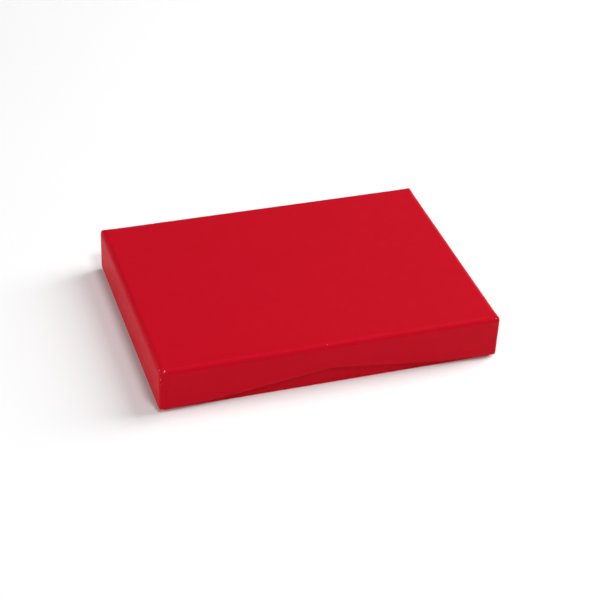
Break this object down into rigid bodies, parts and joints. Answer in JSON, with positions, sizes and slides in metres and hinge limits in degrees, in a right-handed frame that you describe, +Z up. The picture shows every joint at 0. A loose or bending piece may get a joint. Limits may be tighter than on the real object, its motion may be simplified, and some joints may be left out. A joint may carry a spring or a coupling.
{
  "type": "ink pad",
  "caption": "Inked felt pad under stretched cloth, held by a snap frame in a moulded tray, inside a flat paper-covered rigid box with a lift-off lid and thumb notches.",
  "frame": {"origin": "centre of the box's underside, on the surface it stands on", "axes": "+X along the box's long side, +Y towards the back, +Z up and the way the lid lifts; the thumb notch seen in use faces -Y"},
  "size_m": [0.1174, 0.0856, 0.017],
  "materials": {
    "cover_paper": "satin",
    "greyboard": "matte",
    "lining_paper": "matte",
    "corner_tape": "matte",
    "foam_tape": "matte",
    "tray_plastic": "satin",
    "backing_card": "matte",
    "inked_felt": "matte",
    "inked_cloth": "satin",
    "frame_plastic": "satin"
  },
  "bodies": {
    "base": {"base_wrap": "cover_paper", "base_board": "greyboard", "base_liner": "lining_paper", "base_corner_stay_front_left": "corner_tape", "base_corner_stay_front_right": "corner_tape", "base_corner_stay_back_left": "corner_tape", "base_corner_stay_back_right": "corner_tape", "tray_tape_left": "foam_tape", "tray_tape_right": "foam_tape", "pad_tray": "tray_plastic", "pad_backing": "backing_card", "felt_lower": "inked_felt", "felt_upper": "inked_felt", "pad_cloth": "inked_cloth", "pad_frame": "frame_plastic"},
    "lid": {"lid_wrap": "cover_paper", "lid_board": "greyboard", "lid_liner": "lining_paper", "lid_corner_stay_front_left": "corner_tape", "lid_corner_stay_front_right": "corner_tape", "lid_corner_stay_back_left": "corner_tape", "lid_corner_stay_back_right": "corner_tape"}
  },
  "joints": [
    {"name": "lid_lift", "type": "slide", "parent": "base", "child": "lid", "axis": [0, 0, 1], "range_m": [0, 0.07]}
  ]
}
